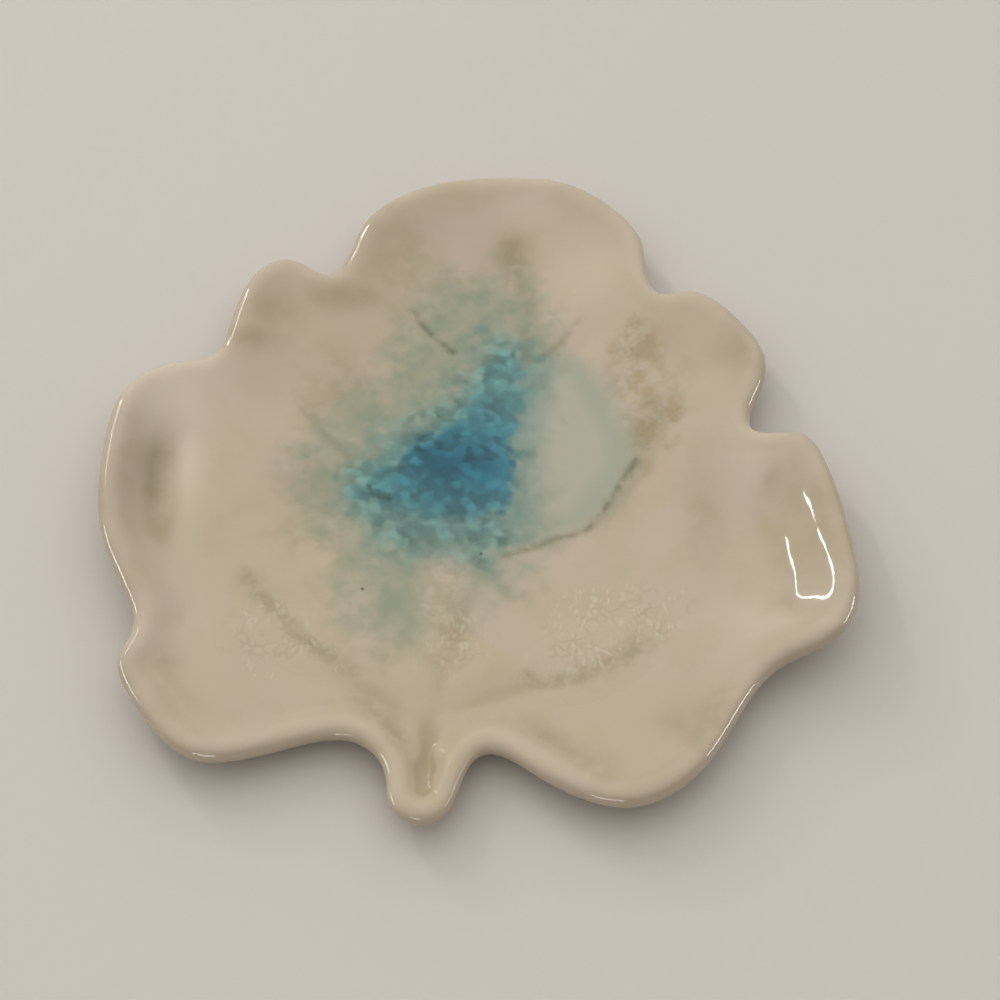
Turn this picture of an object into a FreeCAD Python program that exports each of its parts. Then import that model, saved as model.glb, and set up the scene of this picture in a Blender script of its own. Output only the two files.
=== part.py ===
import FreeCAD, Part
import math
import os

# Ring dish: a leaf-shaped slab of stoneware with a soft round edge, pressed into a shallow dish and glazed.
# Crushed glass, melted in the firing, fills the two wells beside the midrib and lies in lumps in the veins.
# Millimetres, +Z up. The origin is on the table under the middle of the leaf, and the stem points to -Y.

# Leaf slab
leaf_width = 115.0  # left lobe to right lobe
leaf_length = 117.0  # stem tip to the far edge of the top lobe
slab_thickness = 3.6
rim_rise = 5.0  # of the bowl at its full reach
flat_floor_share = 0.26  # of the way from the bowl's middle to the edge
bowl_power = 2.2  # how late the slab turns up
bowl_middle_shares = (-0.02, 0.01)
lip_height = 3.0  # how far the edge itself is curled up where it is most
lip_reach = 7.0  # how far in from the edge the widest curl begins

# The rise round the leaf, as shares of the rim's rise: its mean, and what the back, left and sides add
mean_rise_share = 0.85
back_rise_share = 0.10
left_rise_share = 0.05
sides_rise_share = 0.10

# Press marks that bend the whole slab, each a soft oval
left_hollow_depth = 2.6
left_hollow_half_width = 5.5
left_hollow_half_length = 11.0
left_hollow_shares = (-0.86, -0.03)
right_hollow_depth = 0.8
right_hollow_half_width = 9.0
right_hollow_half_length = 12.0
right_hollow_shares = (0.85, -0.24)
top_hollow_depth = 0.6
top_hollow_half_width = 15.0
top_hollow_half_length = 9.0
top_hollow_shares = (0.05, 0.65)
stem_droop_depth = 1.0
stem_droop_half_width = 12.0
stem_droop_half_length = 11.0
stem_droop_shares = (-0.13, -1.00)
corner_droop_depth = 1.5
corner_droop_half_width = 20.0
corner_droop_half_length = 16.0
corner_droop_shares = (-0.94, -0.75)

# Wells in the upper face, one each side of the midrib, that hold the glass
turquoise_well_depth = 1.4
turquoise_well_half_width = 12.0
turquoise_well_half_length = 18.0
turquoise_well_shares = (-0.10, 0.07)
aqua_well_depth = 1.6
aqua_well_half_width = 10.0
aqua_well_half_length = 13.0
aqua_well_shares = (0.34, 0.02)

# Grooves that the leaf's veins left in the upper face
vein_depth = 0.6
vein_half_width = 1.9
vein_tip_share = 0.25  # of its depth that a groove still has at its tip

# Melted glass
glass_fill_share = 0.9  # of the turquoise well's depth
crackle_height = 0.6  # top of a lump above the slab
crackle_sink = 1.0  # middle of its lens below the slab's face
lower_right_crackle_length = 30.0
lower_right_crackle_width = 17.0
lower_left_crackle_length = 34.0
lower_left_crackle_width = 13.0
upper_right_crackle_length = 22.0
upper_right_crackle_width = 14.0
stem_crackle_length = 26.0
stem_crackle_width = 12.0

# Density of the slab's net of control points
samples_per_span = 2
floor_ring_share = 0.06
normal_step_share = 0.01  # of the way to the edge, between two rings that give the slab's slope
top_ring_count = 28
under_ring_count = 9
edge_steps = 5
ring_crowding = 1.35  # how much closer the rings lie at the edge
calm_samples = 9  # averaged to each side of a sample, for the calm outline that the inner rings follow
lip_calm_samples = 3  # averaged to each side of a sample, where one lip turns into the next
calm_ring_share = 0.55  # of the way to the edge, up to where the rings are calm
square_run = 2.5  # last stretch of the net, which meets the edge square
seam_share = 0.74  # of the way round from the stem, where the skin closes clear of the lumps

# Edge of the leaf by its lobes, once round from the stem. Each has its lip as shares of the lip's height and
# reach, and its points across and along as shares of half the leaf's width and length.
lobe_shares = [
    # stem
    (0.5, 0.4, [(-0.21, -0.89), (-0.19, -0.97), (-0.12, -1.00), (-0.06, -0.97)]),
    (0.5, 0.4, [(-0.03, -0.90), (0.03, -0.79)]),
    # lower right
    (0.5, 0.4, [(0.14, -0.85), (0.27, -0.93)]),
    (0.2, 0.6, [(0.39, -0.96), (0.52, -0.91), (0.63, -0.79)]),
    (0.5, 0.6, [(0.72, -0.64), (0.80, -0.57)]),
    # right
    (0.9, 1.0, [(0.93, -0.52), (1.00, -0.40), (1.00, -0.27), (0.98, -0.13), (0.94, 0.04)]),
    (0.6, 1.0, [(0.89, 0.12), (0.79, 0.13), (0.75, 0.16)]),
    # upper right
    (0.4, 1.0, [(0.78, 0.25), (0.81, 0.38), (0.76, 0.48), (0.67, 0.58), (0.59, 0.61), (0.52, 0.60)]),
    # top
    (0.3, 1.0, [(0.49, 0.69), (0.48, 0.79), (0.38, 0.91), (0.23, 0.99), (0.08, 1.00), (-0.07, 0.99)]),
    (0.3, 1.0, [(-0.22, 0.94), (-0.33, 0.84), (-0.38, 0.70), (-0.42, 0.67)]),
    # upper left
    (0.3, 1.0, [(-0.49, 0.71), (-0.56, 0.72), (-0.64, 0.65), (-0.69, 0.49), (-0.73, 0.39)]),
    # left
    (0.2, 0.8, [(-0.81, 0.37), (-0.92, 0.31)]),
    (0.8, 0.8, [(-0.98, 0.21), (-1.00, 0.06), (-1.00, -0.08), (-0.97, -0.23)]),
    (0.6, 0.6, [(-0.90, -0.37), (-0.87, -0.48)]),
    # lower left
    (0.4, 0.5, [(-0.91, -0.56), (-0.88, -0.64)]),
    (0.2, 0.5, [(-0.81, -0.74), (-0.70, -0.83), (-0.60, -0.83)]),
    (0.5, 0.4, [(-0.46, -0.79), (-0.34, -0.76), (-0.27, -0.78)]),
]

# Middle of the net, from which every ring of the slab grows
net_centre_shares = (0.0, -0.10)

# Veins, each from its root to its tip, in the same shares as the edge
vein_shares = [
    # midrib
    [(-0.11, -0.91), (-0.11, -0.72), (-0.03, -0.40), (0.07, -0.13), (0.16, 0.30), (0.15, 0.64), (0.11, 0.86)],
    # upper right
    [(0.04, -0.27), (0.23, -0.19), (0.36, -0.08), (0.49, 0.11), (0.59, 0.31)],
    # right
    [(-0.06, -0.67), (0.17, -0.60), (0.43, -0.49), (0.69, -0.33)],
    # lower left
    [(-0.11, -0.70), (-0.31, -0.59), (-0.48, -0.47), (-0.65, -0.29)],
    # upper left
    [(-0.01, -0.25), (-0.27, -0.02), (-0.42, 0.20), (-0.52, 0.37)],
    # top left
    [(0.12, 0.19), (-0.05, 0.41), (-0.19, 0.56), (-0.29, 0.66)],
    # top right
    [(0.18, 0.34), (0.31, 0.46), (0.43, 0.59)],
]

# The two pools meet along the midrib, and the rest of each outline runs just inside its shore
pool_rib_shares = [(0.00, -0.31), (0.04, -0.22), (0.12, 0.13), (0.135, 0.31)]
turquoise_side_shares = [(-0.04, 0.34), (-0.26, 0.26), (-0.34, 0.03), (-0.27, -0.19), (-0.10, -0.30)]
aqua_side_shares = [(0.28, 0.25), (0.44, 0.17), (0.48, -0.02), (0.38, -0.19), (0.17, -0.26)]

# Crackled lumps: middle in the same shares, and the turn of the length from +X
lower_right_crackle_shares = (0.30, -0.54)
lower_left_crackle_shares = (-0.45, -0.48)
upper_right_crackle_shares = (0.47, 0.23)
stem_crackle_shares = (-0.07, -0.45)
lower_right_crackle_turn = 22.0
lower_left_crackle_turn = -36.0
upper_right_crackle_turn = 55.0
stem_crackle_turn = 80.0

up = FreeCAD.Vector(0, 0, 1)
half_slab = slab_thickness / 2
glass_level = slab_thickness - turquoise_well_depth * (1 - glass_fill_share)


def at_share(shares):
    """A place on the table, from its shares of half the leaf's width and length."""
    return FreeCAD.Vector(shares[0] * leaf_width / 2, shares[1] * leaf_length / 2, 0)


def flat_distance(start, end):
    return math.hypot(end.x - start.x, end.y - start.y)


net_centre = at_share(net_centre_shares)


def running_mean(values, samples, nothing):
    """Each value's mean with so many neighbours to each side along the edge, which takes the notches out."""
    count = len(values)
    means = []
    for middle in range(count):
        near = [values[(middle + step) % count] for step in range(-samples, samples + 1)]
        means.append(sum(near, nothing) / len(near))
    return means


def edge_line():
    """Middle of the slab's round edge: points, each with its way in, calm point, lip and reach."""
    places = []
    lobe_lips = []
    for lip, reach, points in lobe_shares:
        for point in points:
            places.append(at_share(point))
            lobe_lips.append((lip * lip_height, reach * lip_reach))
    outline = Part.BSplineCurve()
    outline.interpolate(Points=places, PeriodicFlag=True)
    knots = outline.getKnots()
    line = []
    ways_in = []
    lips = []
    reaches = []
    for start, end, (lip, reach) in zip(knots, knots[1:], lobe_lips):
        for sample in range(samples_per_span):
            place = start + (end - start) * sample / samples_per_span
            inward = up.cross(outline.tangent(place)[0]).normalize()
            line.append(outline.value(place) + inward * half_slab)
            ways_in.append(inward)
            lips.append(lip)
            reaches.append(reach)
    calm_line = running_mean(line, calm_samples, FreeCAD.Vector())
    calm_lips = running_mean(lips, lip_calm_samples, 0)
    calm_reaches = running_mean(reaches, lip_calm_samples, 0)
    return list(zip(line, ways_in, calm_line, calm_lips, calm_reaches))


edge = edge_line()


def oval(place, shares, half_width, half_length):
    """Strength of a soft oval mark at a place, 1 at its middle."""
    away = place - at_share(shares)
    return math.exp(-((away.x / half_width) ** 2) - (away.y / half_length) ** 2)


def press_marks(place):
    """How far the press marks push the whole slab down at a place."""
    left = oval(place, left_hollow_shares, left_hollow_half_width, left_hollow_half_length)
    right = oval(place, right_hollow_shares, right_hollow_half_width, right_hollow_half_length)
    top = oval(place, top_hollow_shares, top_hollow_half_width, top_hollow_half_length)
    stem = oval(place, stem_droop_shares, stem_droop_half_width, stem_droop_half_length)
    corner = oval(place, corner_droop_shares, corner_droop_half_width, corner_droop_half_length)
    hollows = left_hollow_depth * left + right_hollow_depth * right + top_hollow_depth * top
    return hollows + stem_droop_depth * stem + corner_droop_depth * corner


def bowl(place):
    """How far the slab has turned up at a place."""
    away = place - at_share(bowl_middle_shares)
    across = away.x / (leaf_width / 2)
    along = away.y / (leaf_length / 2)
    reach = math.hypot(across, along)
    if reach <= flat_floor_share:
        return 0
    round_angle = math.atan2(along, across)
    rise_share = (
        mean_rise_share
        + back_rise_share * math.sin(round_angle)
        - left_rise_share * math.cos(round_angle)
        + sides_rise_share * math.cos(2 * round_angle)
    )
    return rim_rise * rise_share * ((reach - flat_floor_share) / (1 - flat_floor_share)) ** bowl_power


def curl(place):
    """How far the lip is curled up at a place, from the nearest point of the edge."""
    lips = [(flat_distance(place, point), lip, reach) for point, inward, calm, lip, reach in edge]
    away, lip, reach = min(lips)
    return lip * math.exp(-((away / reach) ** 2))


def net_point(share, point, inward, calm):
    """Place on the way from the middle to a point of the edge, which it meets square."""
    spoke = calm - net_centre
    if share <= calm_ring_share:
        return net_centre + spoke * share
    start = net_centre + spoke * calm_ring_share
    way = (share - calm_ring_share) / (1 - calm_ring_share)
    back = 1 - way
    first_aim = start + spoke * (1 - calm_ring_share) / 3
    last_aim = point + inward * square_run
    return start * back**3 + first_aim * 3 * back**2 * way + last_aim * 3 * back * way**2 + point * way**3


def slab_ring(share):
    """Ring of the slab's middle sheet, at a share of the way from the middle to the edge."""
    ring = []
    for point, inward, calm, lip, reach in edge:
        place = net_point(share, point, inward, calm)
        place.z = half_slab + bowl(place) + curl(place) - press_marks(place)
        ring.append(place)
    return ring


def groove(place, shares):
    """Depth of one vein's groove at a place, as a share of its full depth."""
    points = [at_share(pair) for pair in shares]
    deepest = 0
    for number, (start, end) in enumerate(zip(points, points[1:])):
        run = end - start
        flat = FreeCAD.Vector(place.x, place.y, 0) - start
        along = min(max(flat.dot(run) / run.dot(run), 0), 1)
        away = flat_distance(place, start + run * along)
        fade = 1 - (1 - vein_tip_share) * (number + along) / (len(points) - 1)
        deepest = max(deepest, fade * math.exp(-((away / vein_half_width) ** 2)))
    return deepest


def relief(place):
    """How far the upper face lies below the plain slab at a place."""
    turquoise = oval(place, turquoise_well_shares, turquoise_well_half_width, turquoise_well_half_length)
    aqua = oval(place, aqua_well_shares, aqua_well_half_width, aqua_well_half_length)
    veins = max(groove(place, shares) for shares in vein_shares)
    return turquoise_well_depth * turquoise + aqua_well_depth * aqua + vein_depth * veins


def sheet_rows(first_share, count):
    """Rings of the middle sheet out to the edge, each with its upward normals."""
    rows = []
    for number in range(count):
        share = 1 - (1 - first_share) * (1 - number / (count - 1)) ** ring_crowding
        ring = slab_ring(share)
        inner = slab_ring(share - normal_step_share)
        normals = []
        for place, point in enumerate(ring):
            around = ring[(place + 1) % len(ring)] - ring[place - 1]
            normals.append((point - inner[place]).cross(around).normalize())
        rows.append((ring, normals))
    return rows


def level(ring, height):
    """The ring at one height, so that a flat face closes it."""
    return [FreeCAD.Vector(point.x, point.y, height) for point in ring]


def rounded_edge(ring, normals):
    """Rows of control points round the slab's edge, from the upper face to the under face."""
    # A cubic skin runs a little inside the control points of a round, so these stand out by as much.
    step = math.pi / edge_steps
    radius = half_slab * 3 / (2 + math.cos(step))
    rows = []
    for number in range(1, edge_steps):
        rise = math.cos(number * step)
        reach = math.sin(number * step)
        row = []
        for place, (point, normal) in enumerate(zip(ring, normals)):
            along = ring[(place + 1) % len(ring)] - ring[place - 1]
            outward = along.cross(normal).normalize()
            row.append(point + (normal * rise + outward * reach) * radius)
        rows.append(row)
    return rows


def closed_skin(rows):
    """A solid whose side is one smooth surface over rows of control points, with a flat face at each end."""
    seam = round(seam_share * len(rows[0]))
    rows = [row[seam:] + row[:seam] for row in rows]
    degree = 3
    across_knots = list(range(len(rows) - degree + 1))
    across_mults = [degree + 1] + [1] * (len(across_knots) - 2) + [degree + 1]
    around_knots = list(range(len(rows[0]) + 1))
    around_mults = [1] * len(around_knots)
    side = Part.BSplineSurface()
    side.buildFromPolesMultsKnots(
        rows, across_mults, around_mults, across_knots, around_knots, False, True, degree, degree
    )
    faces = [side.toShape()]
    for end in (across_knots[0], across_knots[-1]):
        faces.append(Part.Face(Part.Wire(side.uIso(end).toShape())))
    shell = Part.makeShell(faces)
    shell.sewShape()
    solid = Part.makeSolid(shell)
    if solid.Volume < 0:
        solid.reverse()
    return solid


def slab_rows():
    """The slab's net: out across the upper face, round the edge, and back under to the flat belly."""
    upper_rows = sheet_rows(floor_ring_share, top_ring_count)
    under_rows = sheet_rows(flat_floor_share, under_ring_count)
    upper = [[p + n * half_slab - up * relief(p) for p, n in zip(*row)] for row in upper_rows]
    under = [[p - n * half_slab for p, n in zip(*row)] for row in under_rows]
    edge_rows = rounded_edge(*upper_rows[-1])
    floor_height = sum(point.z for point in upper[0]) / len(upper[0])
    floor = level(upper[0], floor_height)
    belly = level(under[0], 0)
    return [floor] + upper[1:] + edge_rows + under[:0:-1] + [belly]


def top_solid(shape):
    """The solid of a cut shape that lies highest."""
    return max(shape.Solids, key=lambda solid: solid.CenterOfMass.z)


def pool_prism(side_shares):
    """Upright block between the midrib and one side, from below the wells up to the level of the glass."""
    rib = [at_share(shares) for shares in pool_rib_shares]
    side = [at_share(shares) for shares in side_shares]
    rib_curve = Part.BSplineCurve()
    rib_curve.interpolate(rib)
    side_curve = Part.BSplineCurve()
    side_curve.interpolate([rib[-1]] + side + [rib[0]])
    face = Part.Face(Part.Wire([rib_curve.toShape(), side_curve.toShape()]))
    bed = slab_thickness - turquoise_well_depth - aqua_well_depth - vein_depth
    face.translate(up * bed)
    return face.extrude(up * (glass_level - bed))


def crackle_lump(shares, length, width, turn, slab):
    """Lens of crackled glass, laid in the slab's upper face at a place."""
    foot = at_share(shares)
    ray = Part.makeLine(foot, foot + up * (slab_thickness + rim_rise))
    seat = max(slab.common(ray).Vertexes, key=lambda vertex: vertex.Z).Point
    surface = slab.Faces[0].Surface
    normal = surface.normal(*surface.parameter(seat))
    if normal.z < 0:
        normal = -normal
    half_height = crackle_sink + crackle_height
    stretch = FreeCAD.Matrix()
    stretch.scale(length / 2, width / 2, half_height)
    lens = Part.makeSphere(1).transformGeometry(stretch)
    lens.rotate(FreeCAD.Vector(), up, turn)
    tilt = FreeCAD.Rotation(up, normal)
    lens.Placement = FreeCAD.Placement(seat - normal * crackle_sink, tilt).multiply(lens.Placement)
    return lens


def main():
    os.makedirs("parts", exist_ok=True)
    slab = closed_skin(slab_rows())
    turquoise_prism = pool_prism(turquoise_side_shares)
    aqua_prism = pool_prism(aqua_side_shares)
    pieces = {
        "leaf_body": slab,
        "turquoise_glass_pool": top_solid(turquoise_prism.cut(slab)),
        "aqua_glass_pool": top_solid(aqua_prism.cut(slab)),
    }
    lumps = {
        "lower_right_crackle": (
            lower_right_crackle_shares,
            lower_right_crackle_length,
            lower_right_crackle_width,
            lower_right_crackle_turn,
        ),
        "lower_left_crackle": (
            lower_left_crackle_shares,
            lower_left_crackle_length,
            lower_left_crackle_width,
            lower_left_crackle_turn,
        ),
        "upper_right_crackle": (
            upper_right_crackle_shares,
            upper_right_crackle_length,
            upper_right_crackle_width,
            upper_right_crackle_turn,
        ),
        "stem_crackle": (stem_crackle_shares, stem_crackle_length, stem_crackle_width, stem_crackle_turn),
    }
    for name, lump in lumps.items():
        lens = crackle_lump(*lump, slab)
        pieces[name] = top_solid(lens.cut([turquoise_prism, aqua_prism, slab]))
    for name, piece in pieces.items():
        print(name, piece.isValid(), piece.ShapeType, round(piece.Volume, 1), piece.BoundBox)
        piece.exportStep(f"parts/{name}.step")


main()
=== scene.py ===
import math

import bmesh
import bpy
import numpy as np
from mathutils import Matrix, Vector, noise
from mathutils.bvhtree import BVHTree
from mathutils.kdtree import KDTree


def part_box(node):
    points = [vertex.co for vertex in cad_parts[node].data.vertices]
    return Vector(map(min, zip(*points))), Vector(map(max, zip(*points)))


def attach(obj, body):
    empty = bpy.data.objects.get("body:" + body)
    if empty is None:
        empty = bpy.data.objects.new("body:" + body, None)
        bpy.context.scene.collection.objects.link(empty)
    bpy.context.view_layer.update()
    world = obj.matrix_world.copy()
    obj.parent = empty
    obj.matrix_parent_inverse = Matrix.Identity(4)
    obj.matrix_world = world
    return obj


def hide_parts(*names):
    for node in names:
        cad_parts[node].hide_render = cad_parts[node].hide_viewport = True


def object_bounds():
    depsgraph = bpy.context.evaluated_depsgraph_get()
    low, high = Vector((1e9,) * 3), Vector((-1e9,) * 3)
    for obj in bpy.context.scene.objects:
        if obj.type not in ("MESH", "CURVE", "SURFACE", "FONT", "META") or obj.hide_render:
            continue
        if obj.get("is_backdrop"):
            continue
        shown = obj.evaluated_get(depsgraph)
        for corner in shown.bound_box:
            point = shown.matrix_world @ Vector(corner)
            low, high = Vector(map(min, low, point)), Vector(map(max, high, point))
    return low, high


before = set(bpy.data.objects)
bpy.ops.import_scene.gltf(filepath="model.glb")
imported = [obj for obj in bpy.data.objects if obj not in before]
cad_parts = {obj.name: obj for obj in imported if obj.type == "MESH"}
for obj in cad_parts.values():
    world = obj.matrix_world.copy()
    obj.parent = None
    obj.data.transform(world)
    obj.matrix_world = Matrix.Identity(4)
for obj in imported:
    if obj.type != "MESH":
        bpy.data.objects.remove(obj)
cad_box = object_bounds()

# Leaf slab: rolled stoneware cut round a leaf, pressed into a shallow dish and dipped in cream glaze.
# The glaze is pale on the lips, pools olive in the hollows and veins, and takes up copper round the
# glass. Painted light lightens some lobes, and painted shade darkens some hollows and grooves. The belly
# is wiped bare before the firing, so that it doesn't stick to the kiln shelf.
leaf_low, leaf_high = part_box("leaf_body")
half_width = (leaf_high.x - leaf_low.x) / 2
half_length = (leaf_high.y - leaf_low.y) / 2
millimetre = 0.001
merge_distance = 0.000005
slab_voxel = 0.0006
slab_soften_rounds = 4
slab_soften_share = 0.5
hand_swell = 0.00020  # how far hand pressing leaves the face uneven
hand_swell_length = 0.011
belly_height = 0.0005
belly_edge = 0.0003
cavity_rounds = 70
pooling_cavity = (0.000044, 0.000308)  # hollowness at which glaze begins to pool, and at which it is full
pooling_share = 0.40
crest_cavity = (0.000066, 0.000550)  # the same for a crest, where glaze runs thin
crest_share = 0.25
upward_tilt = (0.05, 0.4)  # upward part of the normal between which a face takes kiln marks
run_wander = 0.0009  # how far streaks and shores stray while the glaze runs
run_wander_length = 0.0060
run_seed = 48

# Streaks in the glaze, each by its half width in metres, its strength at the root and at the tip, and its
# places from root to tip as shares of half the leaf's width and length. The two beside the stem are partly
# glaze in the grooves inside the lips and partly painted shade in those grooves.
olive_streaks = {
    "midrib": (0.0020, 0.70, 0.45, [(0.15, 0.42), (0.15, 0.54), (0.13, 0.66), (0.10, 0.78)]),
    "upper_left_vein": (0.0010, 0.80, 0.30, [(-0.33, 0.08), (-0.42, 0.18), (-0.49, 0.29)]),
    "lower_left_vein": (
        0.0014, 0.35, 0.55, [(-0.31, -0.56), (-0.38, -0.51), (-0.46, -0.45), (-0.60, -0.29)],
    ),
    "lower_right_vein": (0.0014, 0.60, 0.45, [(0.14, -0.59), (0.22, -0.60), (0.33, -0.56), (0.44, -0.49)]),
    # Beside the stem: partly glaze in the grooves inside the lips, partly painted shade there.
    "left_of_stem": (0.0018, 0.35, 0.35, [(-0.28, -0.65), (-0.22, -0.72), (-0.18, -0.78)]),
    "right_of_stem": (0.0022, 0.10, 0.20, [(0.02, -0.69), (0.15, -0.73), (0.32, -0.88)]),
    "lower_right_edge": (0.0025, 0.20, 0.20, [(0.65, -0.65), (0.62, -0.71), (0.58, -0.78)]),
    "aqua_end": (0.0022, 0.30, 0.60, [(0.34, -0.10), (0.41, 0.01), (0.46, 0.13), (0.49, 0.24)]),
}
dark_streaks = {
    "aqua_border": (
        0.00060, 0.55, 0.75, [(0.08, -0.22), (0.15, -0.19), (0.26, -0.16), (0.34, -0.10), (0.44, 0.08)],
    ),
    "top_left_vein": (0.00055, 1.00, 0.60, [(-0.06, 0.43), (-0.13, 0.50), (-0.18, 0.57)]),
    "top_right_vein": (0.00060, 0.60, 0.20, [(0.19, 0.43), (0.24, 0.46), (0.30, 0.53)]),
    "core_tip": (0.00060, 0.50, 1.00, [(-0.20, 0.06), (-0.25, 0.01), (-0.29, -0.03), (-0.23, -0.05)]),
    "core_top": (0.00040, 0.20, 0.60, [(0.00, 0.21), (-0.05, 0.20), (-0.09, 0.22)]),
    "green_spot": (0.00120, 0.60, 0.60, [(0.01, -0.23), (0.03, -0.24)]),
}

# Smudges: middle in the same shares, half sizes in metres, and strength. Glaze pools in the olive ones and
# painted shade darkens them, the ochre ones take up iron, the pale ones are thin glaze with painted light
# on them, and the dry one has lost its gloss.
olive_and_painted_shade_smudges = [
    ((-0.37, 0.60), (0.0060, 0.0028), 0.60),
    ((-0.61, 0.45), (0.0050, 0.0028), 0.40),
    ((-0.27, 0.76), (0.0070, 0.0090), 0.35),
    ((0.08, 0.75), (0.0040, 0.0030), 0.35),
    ((-0.43, 0.00), (0.0060, 0.0050), 0.35),
    ((-0.36, 0.34), (0.0060, 0.0090), 0.25),
    ((0.62, -0.10), (0.0040, 0.0100), 0.25),
    ((0.86, -0.02), (0.0050, 0.0060), 0.30),
    ((-0.56, 0.56), (0.0060, 0.0040), 0.40),
    ((-0.27, 0.88), (0.0060, 0.0040), 0.30),
    ((0.74, 0.44), (0.0030, 0.0080), 0.35),
    ((0.55, -0.72), (0.0050, 0.0050), 0.30),
]
ochre_smudges = [
    ((-0.42, -0.12), (0.0060, 0.0080), 0.55),
    ((-0.38, 0.32), (0.0080, 0.0070), 0.55),
    ((-0.20, 0.68), (0.0060, 0.0060), 0.45),
    ((0.10, 0.72), (0.0040, 0.0080), 0.35),
    ((-0.08, -0.40), (0.0035, 0.0090), 0.70),
    ((-0.24, -0.52), (0.0080, 0.0050), 0.30),
]
# Pale smudges: partly thin glaze, partly painted light where the lobes catch the light.
thin_glaze_and_painted_light_smudges = [
    ((-0.86, 0.26), (0.0080, 0.0080), 1.00),
    ((-0.78, 0.06), (0.0030, 0.0070), 0.80),
    ((0.82, -0.45), (0.0080, 0.0060), 0.60),
    ((0.77, 0.04), (0.0060, 0.0050), 0.50),
    ((-0.78, -0.46), (0.0060, 0.0090), 0.45),
    ((0.13, 0.90), (0.0080, 0.0050), 0.55),
    ((0.33, 0.72), (0.0090, 0.0110), 0.45),
]
dry_smudges = [((-0.03, -0.77), (0.0080, 0.0150), 1.00)]  # the stem's channel
# The left hollow: painted shade inside the left lobe's lip, over glaze that pools there.
left_hollow_shares = [
    (-0.90, 0.16), (-0.83, 0.08), (-0.81, 0.00), (-0.84, -0.08), (-0.90, -0.06), (-0.94, 0.05),
]
left_hollow_strength = 0.15
left_hollow_edge = (-1.0, 2.5)  # millimetres inside its outline
rim_tint = 0.25
rim_low, rim_high = 0.0060, 0.0095  # heights between which the glaze turns tan towards the rim

# Outlines of the colours that the glass gave to the glaze, and of its grains, in the same shares
zones = {
    "halo": [[
        (-0.48, 0.03), (-0.42, 0.17), (-0.32, 0.30), (-0.21, 0.44), (-0.18, 0.59), (-0.10, 0.66),
        (0.06, 0.68), (0.17, 0.60), (0.20, 0.45), (0.17, 0.24), (0.16, -0.11), (0.12, -0.28),
        (0.02, -0.38), (-0.16, -0.50), (-0.28, -0.42), (-0.36, -0.22), (-0.44, -0.10),
    ]],
    "teal": [[
        (-0.35, 0.02), (-0.27, 0.14), (-0.17, 0.23), (-0.08, 0.30), (-0.01, 0.41), (0.04, 0.49),
        (0.13, 0.48), (0.16, 0.40), (0.15, 0.27), (0.13, 0.11), (0.12, -0.05), (0.10, -0.18),
        (0.02, -0.24), (-0.11, -0.23), (-0.24, -0.20), (-0.33, -0.08),
    ]],
    "core": [[
        (-0.32, -0.03), (-0.22, 0.06), (-0.15, 0.14), (-0.04, 0.21), (0.02, 0.32), (0.06, 0.42),
        (0.14, 0.40), (0.13, 0.24), (0.11, 0.08), (0.10, -0.08), (0.02, -0.10), (-0.09, -0.11),
        (-0.20, -0.08),
    ]],
    "deep": [[(-0.14, 0.11), (-0.06, 0.14), (0.03, 0.11), (0.05, 0.04), (-0.03, 0.01), (-0.13, 0.04)]],
    "aqua": [[
        (0.18, 0.41), (0.29, 0.42), (0.36, 0.34), (0.42, 0.22), (0.44, 0.08), (0.38, -0.05), (0.28, -0.15),
        (0.15, -0.18), (0.04, -0.16), (0.03, 0.03), (0.06, 0.20), (0.10, 0.32),
    ]],
    "tan": [[
        (0.36, 0.42), (0.43, 0.50), (0.50, 0.48), (0.57, 0.36), (0.58, 0.24), (0.53, 0.12), (0.46, 0.05),
        (0.42, 0.11), (0.39, 0.23),
    ]],
    "grains": [
        [
            (0.14, -0.59), (0.23, -0.36), (0.41, -0.30), (0.57, -0.33), (0.58, -0.40), (0.44, -0.51),
            (0.27, -0.61),
        ],
        [
            (-0.60, -0.36), (-0.50, -0.36), (-0.38, -0.46), (-0.34, -0.55), (-0.45, -0.58), (-0.58, -0.60),
            (-0.64, -0.52),
        ],
        [
            (-0.13, -0.22), (-0.02, -0.20), (0.02, -0.34), (0.03, -0.52), (-0.05, -0.60), (-0.13, -0.52),
            (-0.15, -0.36),
        ],
    ],
}
far_outside = -30.0  # millimetres, for faces that the glass's colours don't reach
streak_steps = 6
outline_steps = 5


def even_skin(node, name):
    """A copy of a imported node, merged and remeshed to an even skin of small quads."""
    shell = bmesh.new()
    shell.from_mesh(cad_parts[node].data)
    bmesh.ops.remove_doubles(shell, verts=shell.verts, dist=merge_distance)
    rough = bpy.data.meshes.new(name + "_rough")
    shell.to_mesh(rough)
    shell.free()
    piece = bpy.data.objects.new(name, rough)
    bpy.context.scene.collection.objects.link(piece)
    remesh = piece.modifiers.new("even_skin", "REMESH")
    remesh.mode = "VOXEL"
    remesh.voxel_size = slab_voxel
    soften = piece.modifiers.new("soften", "SMOOTH")
    soften.factor = slab_soften_share
    soften.iterations = slab_soften_rounds
    even = bpy.data.meshes.new_from_object(piece.evaluated_get(bpy.context.evaluated_depsgraph_get()))
    even.name = name
    piece.modifiers.clear()
    piece.data = even
    bpy.data.meshes.remove(rough)
    even.shade_smooth()
    return piece


def points_of(mesh):
    """A mesh's points, one to a row."""
    flat = np.empty(len(mesh.vertices) * 3)
    mesh.vertices.foreach_get("co", flat)
    return flat.reshape(-1, 3)


def normals_of(mesh):
    """The normals at a mesh's points, one to a row."""
    flat = np.empty(len(mesh.vertices) * 3)
    mesh.vertex_normals.foreach_get("vector", flat)
    return flat.reshape(-1, 3)


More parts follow.
